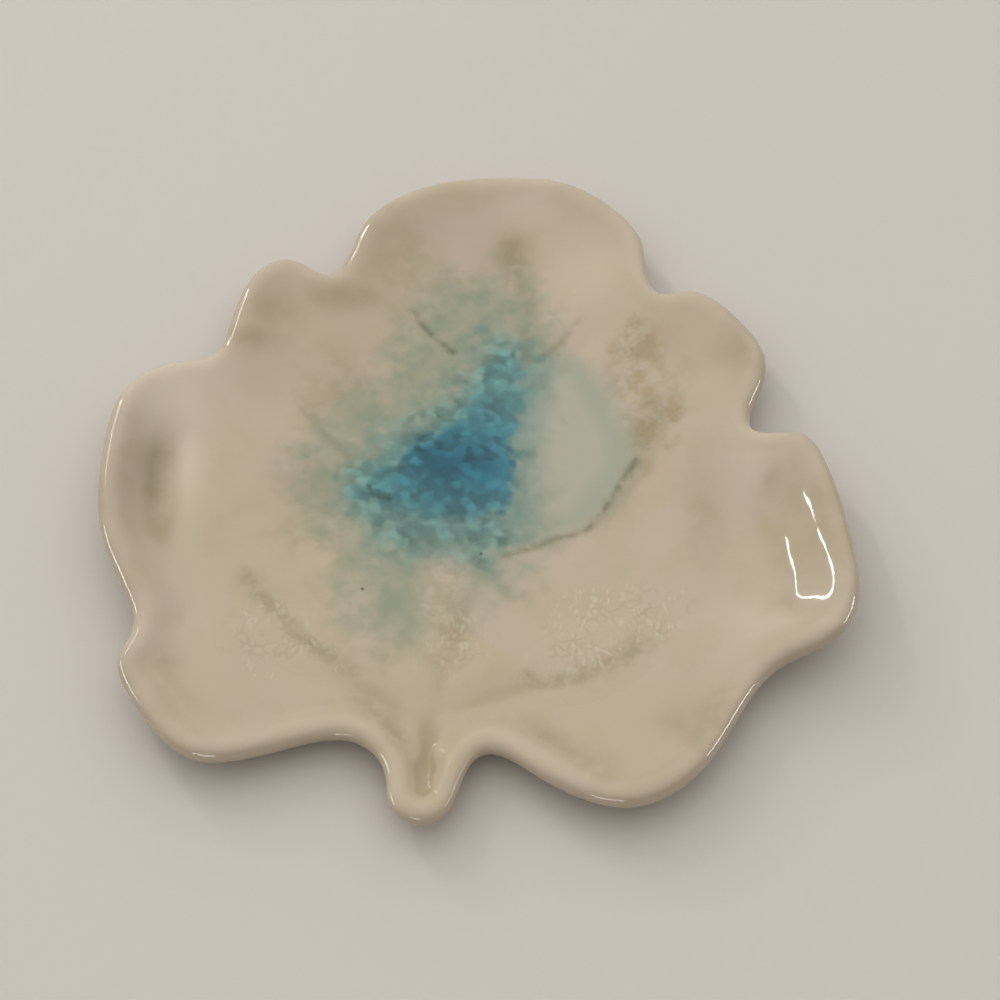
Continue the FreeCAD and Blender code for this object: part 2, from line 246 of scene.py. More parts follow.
def neighbour_mean(mesh, values, rounds):
    """The values of a mesh's points, each drawn towards the mean of its neighbours, so many times."""
    pairs = np.empty(len(mesh.edges) * 2, dtype=np.int32)
    mesh.edges.foreach_get("vertices", pairs)
    start, end = pairs.reshape(-1, 2).T
    total = len(values)
    count = np.bincount(start, minlength=total) + np.bincount(end, minlength=total)
    for _ in range(rounds):
        for axis in range(values.shape[1]):
            column = values[:, axis]
            near = np.bincount(start, weights=column[end], minlength=total)
            near += np.bincount(end, weights=column[start], minlength=total)
            values[:, axis] = (column + near / count) / 2
    return values


def eased_share(value, low, high):
    """0 below the low value, 1 above the high one, and eased between them."""
    share = np.clip((value - low) / (high - low), 0, 1)
    return share * share * (3 - 2 * share)


def give_attribute(mesh, name, values):
    """Keep a value on each of a mesh's points, under a name."""
    values = np.asarray(values, dtype=np.float32)
    mesh.attributes.new(name, "FLOAT", "POINT").data.foreach_set("value", values)


def at_share(shares):
    """A place in plan, in metres, from its shares of half the leaf's width and length."""
    return Vector((shares[0] * half_width, shares[1] * half_length, 0))


def smooth_line(shares, steps, closed=False):
    """Places along a smooth line through points given as shares, so many from each point to the next."""
    corners = [at_share(pair) for pair in shares]
    if closed:
        corners = corners[-1:] + corners + corners[:2]
    else:
        corners = [2 * corners[0] - corners[1]] + corners + [2 * corners[-1] - corners[-2]]
    places = []
    for before, start, end, after in zip(corners, corners[1:], corners[2:], corners[3:]):
        bend = 2 * before - 5 * start + 4 * end - after
        twist = 3 * start - before - 3 * end + after
        for step in range(steps):
            way = step / steps
            places.append(start + ((end - before) * way + bend * way**2 + twist * way**3) / 2)
    if not closed:
        places.append(corners[-2])
    return places


def run_distance(points, start, end):
    """How far each point lies from a straight run in plan, and how far along the run."""
    run = np.array(end - start)[:2]
    flat = points[:, :2] - np.array(start)[:2]
    along = np.clip(flat @ run / (run @ run), 0, 1)
    return np.linalg.norm(flat - along[:, None] * run, axis=1), along


def streak_mask(points, streaks):
    """How strongly the nearest streak marks each point in plan."""
    mask = np.zeros(len(points))
    for half, root, tip, shares in streaks.values():
        line = smooth_line(shares, streak_steps)
        for number, (start, end) in enumerate(zip(line, line[1:])):
            away, along = run_distance(points, start, end)
            strength = root + (tip - root) * (number + along) / (len(line) - 1)
            mask = np.maximum(mask, strength * np.exp(-((away / half) ** 2)))
    return mask


def smudge_mask(points, smudges):
    """How strongly the strongest smudge marks each point in plan."""
    mask = np.zeros(len(points))
    for middle, (half_x, half_y), strength in smudges:
        away = (points - np.array(at_share(middle)))[:, :2] / (half_x, half_y)
        mask = np.maximum(mask, strength * np.exp(-(away[:, 0] ** 2) - away[:, 1] ** 2))
    return mask


def inside_depth(points, shares):
    """How far each point lies inside a smooth closed outline in plan, in millimetres, negative outside."""
    outline = smooth_line(shares, outline_steps, closed=True)
    x, y = points[:, 0], points[:, 1]
    inside = np.zeros(len(points), dtype=bool)
    nearest = np.full(len(points), np.inf)
    for start, end in zip(outline, outline[1:] + outline[:1]):
        nearest = np.minimum(nearest, run_distance(points, start, end)[0])
        crosses = (start.y > y) != (end.y > y)
        lean = (end.x - start.x) / (end.y - start.y) if end.y != start.y else 0.0
        inside ^= crosses & (x < start.x + (y - start.y) * lean)
    return np.where(inside, nearest, -nearest) / millimetre


def give_kiln_and_painted_light_marks(mesh, points, upward, pooling_and_painted_shade, crest):
    """Keep on a mesh's points what the firing did there, with the painted light and painted shade laid on
    it. A face that looks down has none of it.
    """
    drift = np.array([noise.noise_vector(Vector(point) / run_wander_length) for point in points])
    points = points + run_wander * drift * (1, 1, 0)
    # The crest mark holds thin glaze on the crests, plus painted light from the pale smudges.
    give_attribute(mesh, "crest", np.clip(crest + upward * smudge_mask(points, thin_glaze_and_painted_light_smudges), 0, 1))
    left_depth = inside_depth(points, left_hollow_shares)
    # Painted shade in the left hollow.
    hollow_shade = left_hollow_strength * eased_share(left_depth, *left_hollow_edge)
    # The olive smudges and the left hollow add painted shade to where the glaze pools.
    smudged = np.maximum(smudge_mask(points, olive_and_painted_shade_smudges), hollow_shade)
    smudged = np.maximum(smudged, rim_tint * eased_share(points[:, 2], rim_low, rim_high))
    give_attribute(mesh, "pooling_and_painted_shade", upward * np.clip(pooling_and_painted_shade + smudged, 0, 1))
    give_attribute(mesh, "ochre", upward * smudge_mask(points, ochre_smudges))
    give_attribute(mesh, "olive", upward * streak_mask(points, olive_streaks))
    give_attribute(mesh, "dark", upward * streak_mask(points, dark_streaks))
    for name, outlines in zones.items():
        depth = np.max([inside_depth(points, shares) for shares in outlines], axis=0)
        give_attribute(mesh, name, far_outside + upward * (np.maximum(depth, far_outside) - far_outside))


noise.seed_set(run_seed)  # noise vectors start from the clock otherwise
leaf = even_skin("leaf_body", "leaf_slab")
leaf_points = points_of(leaf.data)
leaf_normals = normals_of(leaf.data)
hollowness = neighbour_mean(leaf.data, leaf_points.copy(), cavity_rounds) - leaf_points
cavity = np.einsum("ij,ij->i", hollowness, leaf_normals)
leaf_upward = eased_share(leaf_normals[:, 2], *upward_tilt)
leaf_pooling = pooling_share * eased_share(cavity, *pooling_cavity)
leaf_crest = crest_share * eased_share(-cavity, *crest_cavity)
swell = np.array([noise.noise(Vector(point) / hand_swell_length) for point in leaf_points])
leaf_points += leaf_normals * (swell * hand_swell * leaf_upward)[:, None]
leaf.data.vertices.foreach_set("co", leaf_points.ravel())
above_belly = eased_share(leaf_points[:, 2], belly_height - belly_edge, belly_height)
bare = (1 - above_belly) * (leaf_normals[:, 2] < 0)
give_kiln_and_painted_light_marks(leaf.data, leaf_points, leaf_upward, leaf_pooling, leaf_crest)
give_attribute(leaf.data, "bare", bare)
give_attribute(leaf.data, "dry", leaf_upward * smudge_mask(leaf_points, dry_smudges))
leaf.data.update()


def paint(red, green, blue):
    """A colour from its 0 to 255 screen values."""
    screen = [value / 255 for value in (red, green, blue)]
    linear = [value / 12.92 if value <= 0.04045 else ((value + 0.055) / 1.055) ** 2.4 for value in screen]
    return (*linear, 1)


def add(tree, kind, inputs=(), **settings):
    """A shader node with its settings. Each input is joined to a socket or set to a value."""
    made = tree.nodes.new(kind)
    for name, value in settings.items():
        setattr(made, name, value)
    for name, value in dict(inputs).items():
        if isinstance(value, bpy.types.NodeSocket):
            tree.links.new(value, made.inputs[name])
        else:
            made.inputs[name].default_value = value
    return made


def worked(tree, operation, first, second=0.0, third=0.0):
    """One sum on values."""
    return add(tree, "ShaderNodeMath", {0: first, 1: second, 2: third}, operation=operation).outputs[0]


def moved(tree, operation, first, second):
    """One sum on vectors."""
    return add(tree, "ShaderNodeVectorMath", {0: first, 1: second}, operation=operation).outputs[0]


def mixed(tree, factor, first, second, blend_type="MIX"):
    """One colour over another."""
    inputs = {0: factor, 6: first, 7: second}
    return add(tree, "ShaderNodeMix", inputs, data_type="RGBA", blend_type=blend_type).outputs[2]


def eased(tree, value, low, high):
    """A value's share of the way from low to high, eased and clamped."""
    inputs = {"Value": value, "From Min": low, "From Max": high}
    return add(tree, "ShaderNodeMapRange", inputs, interpolation_type="SMOOTHSTEP").outputs[0]


def cloud(tree, place, scale, detail=3.0):
    """Even noise, as a value and as a colour."""
    made = add(tree, "ShaderNodeTexNoise", {"Vector": place, "Scale": scale, "Detail": detail})
    return made.outputs["Fac"], made.outputs["Color"]


kiln_and_painted_light_marks = ("pooling_and_painted_shade", "crest", "ochre", "olive", "dark", *zones)
specks = [(-16.7, -18.8), (1.2, -12.5)]  # iron in the clay, in millimetres
speck_reach = (0.15, 0.40)
speck_strength = 0.70

# Colours of the glaze and of the glass in it
creams = paint(187, 172, 148), paint(189, 173, 153)
thin_cream = paint(180, 165, 134)
# Lip cream: thin glaze on the lips, and painted light on the pale smudges.
lip_and_painted_light_cream = paint(212, 198, 178)
# Pooled olive: glaze that pools, and painted shade on the olive smudges and in the left hollow.
pooled_and_painted_shade_olive = paint(136, 122, 90)
# Vein olive: glaze in the veins, and painted shade in the grooves beside the stem.
vein_and_groove_shade_olive = paint(134, 127, 92)
tan_stain = paint(162, 143, 108)
crack_brown = paint(140, 124, 88)
# Pale flakes on the grains, partly painted glints.
flake_and_painted_glint_white = paint(206, 199, 178)
aqua_shore = paint(157, 162, 143)
aqua_middle = paint(172, 170, 152)
aqua_rib = paint(130, 152, 146)
halo_green = paint(134, 145, 122)
teal_green = paint(96, 138, 132)
core_shore = paint(94, 139, 136)
core_middle = paint(48, 112, 127)
deep_blue = paint(14, 82, 100)
dark_stain = (0.46, 0.50, 0.38, 1)
iron_black = paint(70, 64, 48)
thin_strength = 0.40
lip_and_painted_light_strength = 0.90
crack_strength = 0.20
flake_and_painted_glint_strength = 0.45
aqua_strength = 0.90
teal_strength = 0.88
deep_strength = 0.80

# Sizes of the patterns, as cells or waves in each millimetre
drift_scale = 0.30
cell_scale = 0.62
grit_scale = 0.45
wander_scale = 0.13
broad_scale = 0.040
blotch_scale = 0.12
mottle_scale = 0.26
patch_scale = 0.22
flake_scale = 1.30
peel_scale = 0.30
noise_middle = (0.5, 0.5, 0.5)
both_ways = (2.0, -1.0)  # turns 0 to 1 into -1 to 1
cell_drift = (3.0, 3.0, 0)  # how far the cells stray, in millimetres
cell_softness = 1.0
flake_stretch = (1.0, 0.5, 0)  # flakes stand twice as tall as wide

# Where each zone begins and is full, how far its edge wanders, and how far it keeps to the cells: all in
# millimetres, the first two inside its outline
zone_edges = {
    "halo": (-6.0, 6.0, 5.0, 1.5),
    "teal": (-3.5, 4.5, 4.0, 1.2),
    "core": (-1.0, 1.4, 1.5, 1.0),
    "deep": (-2.6, 2.8, 2.0, 2.0),
    "aqua": (-2.0, 3.0, 3.0, 0.4),
    "tan": (-2.0, 3.5, 5.0, 1.0),
    "grains": (-1.5, 3.0, 4.0, 1.0),
}
rib_blue_edge = (-5.5, 0.5)
clear_aqua_edge = (2.5, 7.0)
core_middle_edge = (-15.0, 1.0)

# Bands of the patterns over which each mark comes in, and widths of the cells' edges, as shares of a cell
broad_band = (0.40, 0.62)
thin_band = (0.46, 0.66)
uneven_band = (0.30, 0.65)
broken_band = (0.34, 0.62)
mottle_band = (0.38, 0.62)
patch_band = (0.44, 0.62)
streaky_band = (0.30, 0.70)
stain_band = (0.34, 0.58)
flake_band = (0.50, 0.80)
flake_patch_band = (0.34, 0.56)
crack_width = 0.25
flake_edge_width = 0.40
grain_edge_width = 0.35

# How far a pattern changes a mark, and how much of the mark there is at the least
uneven = (0.5, 0.6)
broken = (0.7, 0.35)
mottled = (0.6, 0.1)
streaky = (0.30, 0.62)
stained = (0.8, 0.3)
cell_tone = (0.7, 0.3)
roughness = (0.10, 0.20)
grit_tone = 0.7
grains_clear_halo = -0.55
grain_height = 0.025  # millimetres
peel_height = 0.04


def kiln_and_painted_light_colour_group():
    """What the firing did to the glaze at each place, with painted light, painted shade and painted
    glints: its colour, its roughness and its fine height.
    """
    tree = bpy.data.node_groups.new("kiln_and_painted_light_colours", "ShaderNodeTree")
    tree.interface.new_socket("place", in_out="INPUT", socket_type="NodeSocketVector")
    for name in kiln_and_painted_light_marks:
        tree.interface.new_socket(name, in_out="INPUT", socket_type="NodeSocketFloat")
    for name, kind in (("colour", "Color"), ("roughness", "Float"), ("height", "Float")):
        tree.interface.new_socket(name, in_out="OUTPUT", socket_type="NodeSocket" + kind)
    given = tree.nodes.new("NodeGroupInput").outputs
    place = given["place"]

    # Grains: the glass breaks into soft cells of about 1.6 mm, each of one tone
    _, drift_colour = cloud(tree, place, drift_scale)
    drift = moved(tree, "MULTIPLY", moved(tree, "SUBTRACT", drift_colour, noise_middle), cell_drift)
    bent = moved(tree, "ADD", place, drift)
    cell = {"Vector": bent, "Scale": cell_scale}
    soft_cell = {**cell, "Smoothness": cell_softness}
    cells = add(tree, "ShaderNodeTexVoronoi", soft_cell, voronoi_dimensions="2D", feature="SMOOTH_F1")
    cracks = add(tree, "ShaderNodeTexVoronoi", cell, voronoi_dimensions="2D", feature="DISTANCE_TO_EDGE")
    from_crack = cracks.outputs["Distance"]
    tone = add(tree, "ShaderNodeSeparateColor", {0: cells.outputs["Color"]}).outputs
    cell_shift = worked(tree, "MULTIPLY_ADD", tone["Red"], *both_ways)
    grit, _ = cloud(tree, place, grit_scale, detail=4.0)
    wander = worked(tree, "MULTIPLY_ADD", cloud(tree, place, wander_scale)[0], *both_ways)
    share = {}
    for name, (low, high, wander_by, cell_by) in zone_edges.items():
        depth = worked(tree, "MULTIPLY_ADD", wander, wander_by, given[name])
        depth = worked(tree, "MULTIPLY_ADD", cell_shift, cell_by, depth)
        share[name] = eased(tree, depth, low, high)

    # Cream glaze, pale on the lips and olive where it pools; painted light on the pale smudges, painted
    # shade on the olive ones
    broad, _ = cloud(tree, place, broad_scale, detail=4.0)
    blotch, _ = cloud(tree, place, blotch_scale, detail=5.0)
    cream = mixed(tree, eased(tree, broad, *broad_band), *creams)
    thin = worked(tree, "MULTIPLY", eased(tree, blotch, *thin_band), thin_strength)
    cream = mixed(tree, thin, cream, thin_cream)
    # Lips pale where the glaze runs thin, and painted light on the pale smudges.
    cream = mixed(tree, worked(tree, "MULTIPLY", given["crest"], lip_and_painted_light_strength), cream, lip_and_painted_light_cream)
    patches = worked(tree, "MULTIPLY_ADD", eased(tree, blotch, *uneven_band), *uneven)
    # Olive where the glaze pools, with painted shade from the olive smudges and the left hollow.
    pooled_and_painted_shade = worked(tree, "MINIMUM", worked(tree, "MULTIPLY", given["pooling_and_painted_shade"], patches), 1.0)
    glaze = mixed(tree, pooled_and_painted_shade, cream, pooled_and_painted_shade_olive)
    gaps = worked(tree, "MULTIPLY_ADD", eased(tree, grit, *broken_band), *broken)
    # Olive streaks, with painted shade in the grooves beside the stem.
    veined_and_groove_shade = worked(tree, "MINIMUM", worked(tree, "MULTIPLY", given["olive"], gaps), 1.0)
    glaze = mixed(tree, veined_and_groove_shade, glaze, vein_and_groove_shade_olive)

    # Tan glass and the grains of the lumps: soft blotches, broken lines and pale upright flakes, which are
    # partly painted glints
    mottle, _ = cloud(tree, place, mottle_scale, detail=2.0)
    soft = worked(tree, "MULTIPLY_ADD", eased(tree, mottle, *mottle_band), *mottled)
    tanned = worked(tree, "MULTIPLY", worked(tree, "MAXIMUM", share["tan"], given["ochre"]), soft)
    glaze = mixed(tree, tanned, glaze, tan_stain)
    line = worked(tree, "SUBTRACT", 1.0, eased(tree, from_crack, 0.0, crack_width))
    patchy = worked(tree, "MULTIPLY", eased(tree, cloud(tree, place, patch_scale)[0], *patch_band), line)
    lined = worked(tree, "MULTIPLY", patchy, worked(tree, "MAXIMUM", share["tan"], share["grains"]))
    glaze = mixed(tree, worked(tree, "MULTIPLY", lined, crack_strength), glaze, crack_brown)
    upright = {"Vector": moved(tree, "MULTIPLY", bent, flake_stretch), "Scale": flake_scale}
    flakes = add(tree, "ShaderNodeTexVoronoi", upright, voronoi_dimensions="2D", feature="F1")
    edges = add(tree, "ShaderNodeTexVoronoi", upright, voronoi_dimensions="2D", feature="DISTANCE_TO_EDGE")
    flake_tone = add(tree, "ShaderNodeSeparateColor", {0: flakes.outputs["Color"]}).outputs
    picked = eased(tree, flake_tone["Red"], *flake_band)
    scattered = worked(tree, "MULTIPLY", picked, eased(tree, blotch, *flake_patch_band))
    flake_and_painted_glint = worked(tree, "MULTIPLY", scattered, share["grains"])
    flake_and_painted_glint = worked(tree, "MULTIPLY", flake_and_painted_glint, eased(tree, edges.outputs["Distance"], 0.0, flake_edge_width))
    # Pale flakes, partly painted glints on the grains.
    glaze = mixed(tree, worked(tree, "MULTIPLY", flake_and_painted_glint, flake_and_painted_glint_strength), glaze, flake_and_painted_glint_white)

    # Aqua glass, bluer along the midrib
    near_rib = eased(tree, given["teal"], *rib_blue_edge)
    clear = eased(tree, given["aqua"], *clear_aqua_edge)
    aqua_colour = mixed(tree, clear, aqua_shore, aqua_middle)
    aqua_colour = mixed(tree, near_rib, aqua_colour, aqua_rib)
    glaze = mixed(tree, worked(tree, "MULTIPLY", share["aqua"], aqua_strength), glaze, aqua_colour)

    # Copper colours, from grey green at the shore to deep blue in the middle
    runs = worked(tree, "MULTIPLY_ADD", eased(tree, mottle, *streaky_band), *streaky)
    runs = worked(tree, "MULTIPLY_ADD", share["grains"], grains_clear_halo, runs)
    glaze = mixed(tree, worked(tree, "MULTIPLY", share["halo"], runs), glaze, halo_green)
    glaze = mixed(tree, worked(tree, "MULTIPLY", share["teal"], teal_strength), glaze, teal_green)
    low_core = eased(tree, given["deep"], *core_middle_edge)
    glaze = mixed(tree, share["core"], glaze, mixed(tree, low_core, core_shore, core_middle))
    glaze = mixed(tree, worked(tree, "MULTIPLY", share["deep"], deep_strength), glaze, deep_blue)
    grained = worked(tree, "MULTIPLY_ADD", tone["Blue"], *cell_tone)
    grained = worked(tree, "MULTIPLY_ADD", grit, grit_tone, grained)
    glaze = mixed(tree, share["teal"], glaze, grained, "MULTIPLY")

    # Dark streaks and iron specks
    stain = worked(tree, "MULTIPLY_ADD", eased(tree, grit, *stain_band), *stained)
    dark = worked(tree, "MINIMUM", worked(tree, "MULTIPLY", given["dark"], stain), 1.0)
    glaze = mixed(tree, dark, glaze, dark_stain, "MULTIPLY")
    for middle in specks:
        gap = add(tree, "ShaderNodeVectorMath", {0: place, 1: (*middle, 0)}, operation="DISTANCE")
        speck = worked(tree, "SUBTRACT", 1.0, eased(tree, gap.outputs["Value"], *speck_reach))
        glaze = mixed(tree, worked(tree, "MULTIPLY", speck, speck_strength), glaze, iron_black)

    # Fine height: the glaze's soft unevenness, and the rounded cells of the glass
    crackled = worked(tree, "MAXIMUM", share["teal"], share["tan"])
    crackled = worked(tree, "MAXIMUM", share["grains"], crackled)
    rounded = worked(tree, "MULTIPLY", eased(tree, from_crack, 0.0, grain_edge_width), crackled)
    peel = worked(tree, "MULTIPLY", cloud(tree, place, peel_scale, detail=2.0)[0], peel_height)
    height = worked(tree, "MULTIPLY_ADD", rounded, grain_height, peel)
    rough = worked(tree, "MULTIPLY_ADD", blotch, *roughness)
    put = add(tree, "NodeGroupOutput")
    for name, socket in (("colour", glaze), ("roughness", rough), ("height", height)):
        tree.links.new(socket, put.inputs[name])
    return tree


kiln_and_painted_light_colours = kiln_and_painted_light_colour_group()
bump_strength = 0.6
fired_gloss = {"IOR": 1.5, "Specular IOR Level": 0.05, "Coat Weight": 1.0, "Coat IOR": 1.36}
leaf_coat_roughness = 0.05
clays = paint(176, 154, 124), paint(203, 184, 156)
clay_grit_scale = 1800.0  # grains in each metre
clay_roughness = 0.85


def attribute(tree, name):
    """What a mesh's points keep under a name."""
    return add(tree, "ShaderNodeAttribute", attribute_name=name).outputs["Fac"]


def fired_material(name, coat_roughness):
    """A glossy kiln surface, in the colours that its points keep."""
    material = bpy.data.materials.new(name)
    material.use_nodes = True
    tree = material.node_tree
    tree.nodes.clear()
    place = add(tree, "ShaderNodeTexCoord").outputs["Object"]
    inputs = {"place": moved(tree, "MULTIPLY", place, (1 / millimetre, 1 / millimetre, 0))}
    for mark in kiln_and_painted_light_marks:
        inputs[mark] = attribute(tree, mark)
    colours = tree.nodes.new("ShaderNodeGroup")
    colours.node_tree = kiln_and_painted_light_colours
    for socket, source in inputs.items():
        tree.links.new(source, colours.inputs[socket])
    relief = {"Height": colours.outputs["height"], "Distance": millimetre, "Strength": bump_strength}
    bump = add(tree, "ShaderNodeBump", relief)
    surface = add(tree, "ShaderNodeBsdfPrincipled", {**fired_gloss, "Coat Roughness": coat_roughness})
    tree.links.new(colours.outputs["colour"], surface.inputs["Base Color"])
    tree.links.new(colours.outputs["roughness"], surface.inputs["Roughness"])
    tree.links.new(bump.outputs["Normal"], surface.inputs["Normal"])
    result = add(tree, "ShaderNodeOutputMaterial")
    tree.links.new(surface.outputs["BSDF"], result.inputs["Surface"])
    return material, tree, surface


def glazed_leaf_material():
    """Cream glaze all over, bare buff clay on the belly, and a stem whose channel has run dry."""
    material, tree, surface = fired_material("cream_glaze", leaf_coat_roughness)
    bare_clay = attribute(tree, "bare")
    place = add(tree, "ShaderNodeTexCoord").outputs["Object"]
    grit, _ = cloud(tree, place, clay_grit_scale)
    clay = mixed(tree, grit, *clays)
    glazed = surface.inputs["Base Color"].links[0].from_socket
    tree.links.new(mixed(tree, bare_clay, glazed, clay), surface.inputs["Base Color"])
    smooth = surface.inputs["Roughness"].links[0].from_socket
    rough = add(tree, "ShaderNodeMix", {0: bare_clay, 2: smooth, 3: clay_roughness}).outputs[0]
    tree.links.new(rough, surface.inputs["Roughness"])
    coated = worked(tree, "SUBTRACT", 1.0, worked(tree, "MAXIMUM", bare_clay, attribute(tree, "dry")))
    tree.links.new(coated, surface.inputs["Coat Weight"])
    return material


leaf.data.materials.clear()
leaf.data.materials.append(glazed_leaf_material())
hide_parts("leaf_body")
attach(leaf, "root")

# Turquoise glass pool: crushed bottle glass, heaped in the well left of the midrib before the firing.
# It melts level, draws up the sides of the well in a thin shore, and breaks into grains as it cools.
pool_rib_shares = [(-0.05, -0.54), (0.04, -0.22), (0.12, 0.13), (0.17, 0.52)]
turquoise_side_shares = [(-0.05, 0.61), (-0.37, 0.39), (-0.49, 0.01), (-0.33, -0.39)]
pool_columns = 180
pool_rows = 110
pool_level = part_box("turquoise_glass_pool")[1].z
shore_softness = 0.00025
shore_margin = 0.00006
glass_sink = 0.0003
grain_size = 0.0019
seam_share = 0.45  # of a grain that its seam takes up
turquoise_relief = 0.00004
turquoise_coat_roughness = 0.04
sharp_edge = math.radians(50)
deepest_shore = 50  # softnesses below the level, from which the top is simply level
above_all = leaf_high.z * 2
beds = []
nearest_leaf = KDTree(len(leaf_points))
for number, point in enumerate(leaf_points):
    nearest_leaf.insert(point, number)
nearest_leaf.balance()


def add_bed(piece):
    """Glass that is laid later rests on this piece too."""
    mesh = piece.data
    beds.append(BVHTree.FromPolygons([v.co for v in mesh.vertices], [f.vertices for f in mesh.polygons]))


def bed_height(place):
    """Height of what already lies at a place in plan: the slab, or glass on it."""
    hits = [bed.ray_cast(Vector((place.x, place.y, above_all)), Vector((0, 0, -1)))[0] for bed in beds]
    return max((hit.z for hit in hits if hit), default=0.0)


def grain_dip(place):
    """How deep a place lies in the seams between grains: 1 in a seam, 0 on a grain."""
    near, second = noise.voronoi(Vector((place.x, place.y, 0)) / grain_size)[0][:2]
    return (1 - min((second - near) / seam_share, 1.0)) ** 2


def closed_lens(name, sheet, top_height):
    """A piece of glass from a flat sheet: its top at the heights given, its underside sunk in the bed."""
    bmesh.ops.remove_doubles(sheet, verts=sheet.verts, dist=merge_distance)
    made = bmesh.ops.extrude_face_region(sheet, geom=sheet.faces[:], use_keep_orig=True)
    tops = [part for part in made["geom"] if isinstance(part, bmesh.types.BMVert)]
    bed = {vert: bed_height(vert.co) for vert in sheet.verts}
    for vert in sheet.verts:
        vert.co.z = bed[vert] - glass_sink
    for vert in tops:
        vert.co.z = top_height(vert.co, bed[vert])
    bmesh.ops.recalc_face_normals(sheet, faces=sheet.faces)
    mesh = bpy.data.meshes.new(name)
    sheet.to_mesh(mesh)
    sheet.free()
    mesh.shade_smooth()
    mesh.set_sharp_from_angle(angle=sharp_edge)
    under = [nearest_leaf.find(vert.co)[1] for vert in mesh.vertices]
    points = points_of(mesh)
    give_kiln_and_painted_light_marks(mesh, points, np.ones(len(points)), leaf_pooling[under], leaf_crest[under])
    piece = bpy.data.objects.new(name, mesh)
    bpy.context.scene.collection.objects.link(piece)
    return piece


def pool_piece(name, side_shares, relief):
    """Level glass between the midrib and a side curve, drawn up where it meets the slab."""
    steps = pool_columns // (len(pool_rib_shares) - 1)
    rib = smooth_line(pool_rib_shares, steps)
    side_steps = pool_columns // (len(side_shares) + 1)
    side = smooth_line([pool_rib_shares[-1]] + side_shares + [pool_rib_shares[0]], side_steps)[::-1]
    sheet = bmesh.new()
    bmesh.ops.create_grid(sheet, x_segments=pool_columns, y_segments=pool_rows, size=1)
    for vert in sheet.verts:
        column = round((vert.co.x + 1) / 2 * pool_columns)
        vert.co = rib[column].lerp(side[column], (vert.co.y + 1) / 2)

    def top_height(place, bed):
        depth = (pool_level - bed) / shore_softness
        wetted = shore_softness * math.log1p(math.exp(min(depth, deepest_shore)))
        return bed + wetted - shore_margin - relief * grain_dip(place) * min(wetted / shore_softness, 1.0)

    return closed_lens(name, sheet, top_height)


add_bed(leaf)
turquoise = pool_piece("turquoise_melt", turquoise_side_shares, turquoise_relief)
turquoise.data.materials.append(fired_material("turquoise_crackle", turquoise_coat_roughness)[0])
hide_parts("turquoise_glass_pool")
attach(turquoise, "root")

# Aqua glass pool: paler bottle glass, melted in the well right of the midrib. It is thinner and clearer,
# so that the cream shows through it, and it ends along the upper right vein in a dark line.
aqua_side_shares = [(0.40, 0.43), (0.58, 0.08), (0.46, -0.30), (0.20, -0.49)]
aqua_relief = 0.00001
aqua_coat_roughness = 0.04
aqua = pool_piece("aqua_melt", aqua_side_shares, aqua_relief)
aqua.data.materials.append(fired_material("aqua_crackle", aqua_coat_roughness)[0])
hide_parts("aqua_glass_pool")
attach(aqua, "root")

# Four crackle lumps: pinches of clear and cream glass grains, dropped on the glaze beside the veins.
# They melt to low mounds that feather out into the glaze, and craze into rounded grains.
lump_columns = 100
lump_rows = 60
lump_rise = 0.00045
lump_relief = 0.00006
lump_coat_roughness = 0.06

# Each lump by its middle in shares of half the leaf, its length and width in metres, and its turn
lumps = {
    "lower_right_crackle": ((0.30, -0.54), 0.030, 0.017, 22),
    "lower_left_crackle": ((-0.45, -0.48), 0.034, 0.013, -36),
    "upper_right_crackle": ((0.47, 0.23), 0.022, 0.014, 55),
    "stem_crackle": ((-0.07, -0.45), 0.026, 0.012, 80),
}


def lump_piece(name, middle_shares, length, width, turn):
    """A low oval mound of rounded grains."""
    middle = at_share(middle_shares)
    ahead = Vector((math.cos(math.radians(turn)), math.sin(math.radians(turn)), 0))
    across = Vector((-ahead.y, ahead.x, 0))
    sheet = bmesh.new()
    bmesh.ops.create_grid(sheet, x_segments=lump_columns, y_segments=lump_rows, size=1)
    for vert in sheet.verts:
        x, y = vert.co.x, vert.co.y
        round_x, round_y = x * math.sqrt(1 - y * y / 2), y * math.sqrt(1 - x * x / 2)
        vert.co = middle + ahead * (round_x * length / 2) + across * (round_y * width / 2)

    def top_height(place, bed):
        flat = Vector((place.x, place.y, 0)) - middle
        out = (2 * flat.dot(ahead) / length) ** 2 + (2 * flat.dot(across) / width) ** 2
        mound = max(0.0, 1 - out) ** 2
        seam = math.sqrt(mound) * lump_relief * grain_dip(place)
        return bed + mound * lump_rise - seam - shore_margin * (1 - mound)

    return closed_lens(name, sheet, top_height)


add_bed(turquoise)
add_bed(aqua)
lump_material = fired_material("cream_crackle", lump_coat_roughness)[0]
for node, sizes in lumps.items():
    lump = lump_piece(node + "_melt", *sizes)
    lump.data.materials.append(lump_material)
    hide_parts(node)
    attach(lump, "root")

